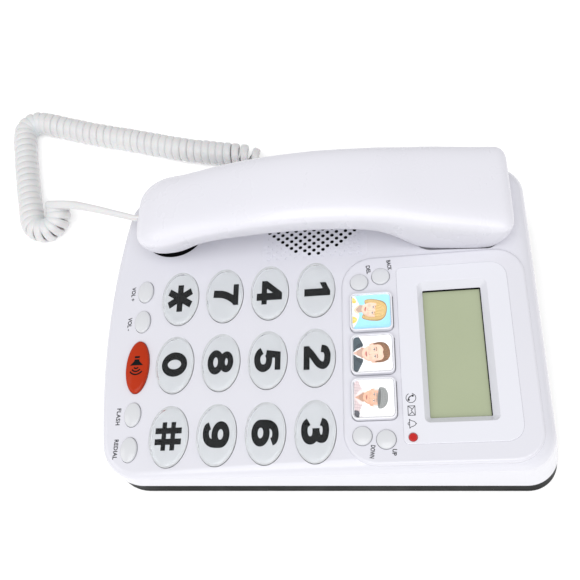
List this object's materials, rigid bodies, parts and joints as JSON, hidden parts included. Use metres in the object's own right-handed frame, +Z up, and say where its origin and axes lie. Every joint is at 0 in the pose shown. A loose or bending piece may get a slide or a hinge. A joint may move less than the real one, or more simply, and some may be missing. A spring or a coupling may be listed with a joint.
{
  "type": "corded desk telephone",
  "caption": "Corded big-button desk telephone: sloped base with clear oval dial keys, picture memory keys, display panel and speaker grille, and a handset on a coiled cord.",
  "frame": {"origin": "centre of the base footprint, on the surface the rubber feet stand on", "axes": "+X to the user's right (away from the handset), +Y away from the user towards the display, +Z up; digits read upright for a user at -Y"},
  "size_m": [0.2407, 0.3129, 0.0759],
  "materials": {
    "shell_white": "glossy injection-moulded ABS, faint lavender white",
    "shell_dark": "fine-textured dark grey ABS",
    "panel_white": "glossy ABS frame",
    "grille_white": "glossy ABS, perforated",
    "lcd": "reflective green-grey liquid-crystal display",
    "key_clear": "clear polished acrylic",
    "key_frosted": "milky translucent plastic",
    "key_orange": "translucent orange-red plastic",
    "picture_frame": "glossy white ABS",
    "picture_window": "clear polished acrylic",
    "led_red": "diffused red epoxy",
    "board": "solder-masked laminate",
    "mat_grey": "silicone rubber",
    "rubber": "soft black rubber",
    "steel": "zinc-plated steel",
    "jack_black": "moulded jack housing",
    "plug_clear": "clear modular plug",
    "cord_white": "off-white PVC flat cable",
    "speaker_black": "paper cone and steel basket",
    "battery_wrap": "shrink-wrapped dry cell"
  },
  "bodies": {
    "base": {"upper_case": "shell_white", "lower_case": "shell_dark", "speaker_grille": "grille_white", "display_panel": "panel_white", "lcd_glass": "lcd", "lcd_board": "board", "ring_led": "led_red", "main_board": "board", "board_screws": "steel", "keypad_mat": "mat_grey", "loudspeaker": "speaker_black", "hook_switch": "jack_black", "hook_spring": "steel", "line_jack": "jack_black", "cord_jack": "jack_black", "batteries": "battery_wrap", "battery_contacts": "steel", "rubber_feet": "rubber", "case_screws": "steel", "base_plug": "plug_clear", "cord_tail_handset": "cord_white", "cord_coil": "cord_white", "cord_tail_base": "cord_white"},
    "handset": {"handset_top_shell": "shell_white", "handset_bottom_shell": "shell_white", "receiver_capsule": "speaker_black", "microphone": "speaker_black", "handset_weight": "steel", "handset_jack": "picture_frame", "handset_screws": "steel", "handset_plug": "plug_clear"},
    "hook": {"hook_plunger": "picture_frame"},
    "battery_cover": {"battery_door": "shell_dark"},
    "key_1": {"key_1": "key_clear"},
    "key_2": {"key_2": "key_clear"},
    "key_3": {"key_3": "key_clear"},
    "key_4": {"key_4": "key_clear"},
    "key_5": {"key_5": "key_clear"},
    "key_6": {"key_6": "key_clear"},
    "key_7": {"key_7": "key_clear"},
    "key_8": {"key_8": "key_clear"},
    "key_9": {"key_9": "key_clear"},
    "key_star": {"key_star": "key_clear"},
    "key_0": {"key_0": "key_clear"},
    "key_hash": {"key_hash": "key_clear"},
    "key_volume_up": {"key_volume_up": "key_frosted"},
    "key_volume_down": {"key_volume_down": "key_frosted"},
    "key_flash": {"key_flash": "key_frosted"},
    "key_redial": {"key_redial": "key_frosted"},
    "key_delete": {"key_delete": "key_frosted"},
    "key_back": {"key_back": "key_frosted"},
    "key_up": {"key_up": "key_frosted"},
    "key_down": {"key_down": "key_frosted"},
    "key_speaker": {"key_speaker": "key_orange"},
    "picture_key_1": {"picture_key_1": "picture_frame", "picture_window_1": "picture_window"},
    "picture_key_2": {"picture_key_2": "picture_frame", "picture_window_2": "picture_window"},
    "picture_key_3": {"picture_key_3": "picture_frame", "picture_window_3": "picture_window"}
  },
  "joints": [
    {"name": "handset_lift", "type": "slide", "parent": "base", "child": "handset", "axis": [0, 0, 1], "range_m": [0, 0.06]},
    {"name": "hook_rise", "type": "slide", "parent": "base", "child": "hook", "axis": [0, 0, 1], "range_m": [0, 0.0045], "deforming": ["hook_spring"]},
    {"name": "battery_cover_slide", "type": "slide", "parent": "base", "child": "battery_cover", "axis": [0, 1, 0], "range_m": [0, 0.07]},
    {"name": "key_1_press", "type": "slide", "parent": "base", "child": "key_1", "axis": [0, 0.1045, -0.9945], "range_m": [0, 0.0015], "stiffness_N_per_m": 350, "springref_m": -0.0008},
    {"name": "key_2_press", "type": "slide", "parent": "base", "child": "key_2", "axis": [0, 0.1045, -0.9945], "range_m": [0, 0.0015], "stiffness_N_per_m": 350, "springref_m": -0.0008},
    {"name": "key_3_press", "type": "slide", "parent": "base", "child": "key_3", "axis": [0, 0.1045, -0.9945], "range_m": [0, 0.0015], "stiffness_N_per_m": 350, "springref_m": -0.0008},
    {"name": "key_4_press", "type": "slide", "parent": "base", "child": "key_4", "axis": [0, 0.1045, -0.9945], "range_m": [0, 0.0015], "stiffness_N_per_m": 350, "springref_m": -0.0008},
    {"name": "key_5_press", "type": "slide", "parent": "base", "child": "key_5", "axis": [0, 0.1045, -0.9945], "range_m": [0, 0.0015], "stiffness_N_per_m": 350, "springref_m": -0.0008},
    {"name": "key_6_press", "type": "slide", "parent": "base", "child": "key_6", "axis": [0, 0.1045, -0.9945], "range_m": [0, 0.0015], "stiffness_N_per_m": 350, "springref_m": -0.0008},
    {"name": "key_7_press", "type": "slide", "parent": "base", "child": "key_7", "axis": [0, 0.1045, -0.9945], "range_m": [0, 0.0015], "stiffness_N_per_m": 350, "springref_m": -0.0008},
    {"name": "key_8_press", "type": "slide", "parent": "base", "child": "key_8", "axis": [0, 0.1045, -0.9945], "range_m": [0, 0.0015], "stiffness_N_per_m": 350, "springref_m": -0.0008},
    {"name": "key_9_press", "type": "slide", "parent": "base", "child": "key_9", "axis": [0, 0.1045, -0.9945], "range_m": [0, 0.0015], "stiffness_N_per_m": 350, "springref_m": -0.0008},
    {"name": "key_star_press", "type": "slide", "parent": "base", "child": "key_star", "axis": [0, 0.1045, -0.9945], "range_m": [0, 0.0015], "stiffness_N_per_m": 350, "springref_m": -0.0008},
    {"name": "key_0_press", "type": "slide", "parent": "base", "child": "key_0", "axis": [0, 0.1045, -0.9945], "range_m": [0, 0.0015], "stiffness_N_per_m": 350, "springref_m": -0.0008},
    {"name": "key_hash_press", "type": "slide", "parent": "base", "child": "key_hash", "axis": [0, 0.1045, -0.9945], "range_m": [0, 0.0015], "stiffness_N_per_m": 350, "springref_m": -0.0008},
    {"name": "key_volume_up_press", "type": "slide", "parent": "base", "child": "key_volume_up", "axis": [0, 0.1045, -0.9945], "range_m": [0, 0.0012], "stiffness_N_per_m": 350, "springref_m": -0.0008},
    {"name": "key_volume_down_press", "type": "slide", "parent": "base", "child": "key_volume_down", "axis": [0, 0.1045, -0.9945], "range_m": [0, 0.0012], "stiffness_N_per_m": 350, "springref_m": -0.0008},
    {"name": "key_flash_press", "type": "slide", "parent": "base", "child": "key_flash", "axis": [0, 0.1045, -0.9945], "range_m": [0, 0.0012], "stiffness_N_per_m": 350, "springref_m": -0.0008},
    {"name": "key_redial_press", "type": "slide", "parent": "base", "child": "key_redial", "axis": [0, 0.1045, -0.9945], "range_m": [0, 0.0012], "stiffness_N_per_m": 350, "springref_m": -0.0008},
    {"name": "key_delete_press", "type": "slide", "parent": "base", "child": "key_delete", "axis": [0, 0.1045, -0.9945], "range_m": [0, 0.0012], "stiffness_N_per_m": 350, "springref_m": -0.0008},
    {"name": "key_back_press", "type": "slide", "parent": "base", "child": "key_back", "axis": [0, 0.1045, -0.9945], "range_m": [0, 0.0012], "stiffness_N_per_m": 350, "springref_m": -0.0008},
    {"name": "key_up_press", "type": "slide", "parent": "base", "child": "key_up", "axis": [0, 0.1045, -0.9945], "range_m": [0, 0.0012], "stiffness_N_per_m": 350, "springref_m": -0.0008},
    {"name": "key_down_press", "type": "slide", "parent": "base", "child": "key_down", "axis": [0, 0.1045, -0.9945], "range_m": [0, 0.0012], "stiffness_N_per_m": 350, "springref_m": -0.0008},
    {"name": "key_speaker_press", "type": "slide", "parent": "base", "child": "key_speaker", "axis": [0, 0.1045, -0.9945], "range_m": [0, 0.0015], "stiffness_N_per_m": 350, "springref_m": -0.0008},
    {"name": "picture_key_1_press", "type": "slide", "parent": "base", "child": "picture_key_1", "axis": [0, 0.1045, -0.9945], "range_m": [0, 0.0015], "stiffness_N_per_m": 350, "springref_m": -0.0008},
    {"name": "picture_key_2_press", "type": "slide", "parent": "base", "child": "picture_key_2", "axis": [0, 0.1045, -0.9945], "range_m": [0, 0.0015], "stiffness_N_per_m": 350, "springref_m": -0.0008},
    {"name": "picture_key_3_press", "type": "slide", "parent": "base", "child": "picture_key_3", "axis": [0, 0.1045, -0.9945], "range_m": [0, 0.0015], "stiffness_N_per_m": 350, "springref_m": -0.0008}
  ],
  "couplings": [
    {"joint": "hook_rise", "follows": "handset_lift", "ratio": 0.075}
  ]
}
